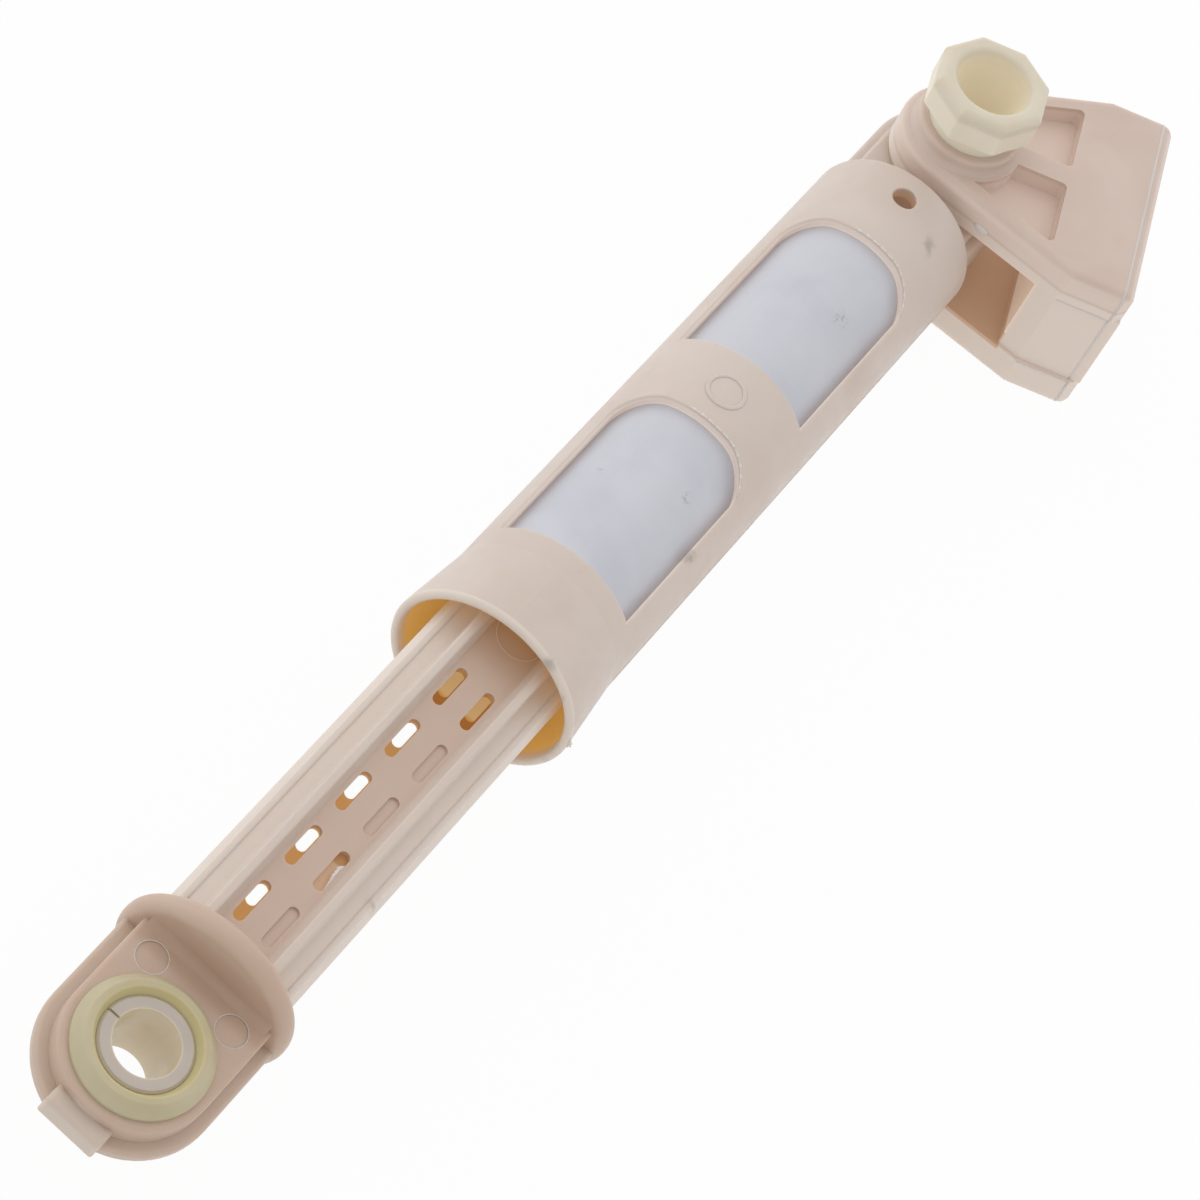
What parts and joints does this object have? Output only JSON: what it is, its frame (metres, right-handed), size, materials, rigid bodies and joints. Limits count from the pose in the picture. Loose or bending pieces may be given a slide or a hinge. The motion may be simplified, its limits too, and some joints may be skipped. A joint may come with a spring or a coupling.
{
  "type": "washing machine shock absorber",
  "caption": "Friction damper with a hollow plunger sliding in a windowed tubular housing, an eye with a soft bush at one end and a swivelling foot bracket on a hollow pin at the other.",
  "frame": {"origin": "centre of the plunger's eye", "axes": "+X along the damper from the eye towards the foot bracket, +Z along the pivot pin towards its head, up as the part lies on its side"},
  "size_m": [0.289, 0.0599, 0.0482],
  "materials": {
    "cream_moulding": "moulded satin",
    "ivory_moulding": "moulded, slightly glossy",
    "ivory_rubber": "matte, soft",
    "liner_steel": "smooth drawn tube",
    "lining_foam": "open foam, greased"
  },
  "bodies": {
    "housing": {"outer_housing": "cream_moulding", "liner_sleeve": "liner_steel", "lug_bush": "ivory_moulding"},
    "lining": {"friction_lining": "lining_foam"},
    "plunger": {"plunger_rod": "cream_moulding", "rod_eye_bush": "ivory_rubber", "rod_eye_sleeve": "cream_moulding"},
    "foot": {"foot_bracket": "cream_moulding", "pivot_pin": "ivory_moulding"}
  },
  "joints": [
    {"name": "plunger_slide", "type": "slide", "parent": "housing", "child": "lining", "axis": [1, 0, 0], "range_m": [-0.01, 0.0715]},
    {"name": "plunger_turn", "type": "hinge", "parent": "lining", "child": "plunger", "pos_m": [0.1321, 0, 0], "axis": [1, 0, 0], "continuous": true},
    {"name": "foot_swing", "type": "hinge", "parent": "housing", "child": "foot", "pos_m": [0.2404, 0, 0], "axis": [0, 0, 1], "range_deg": [-6, 146.8]}
  ]
}
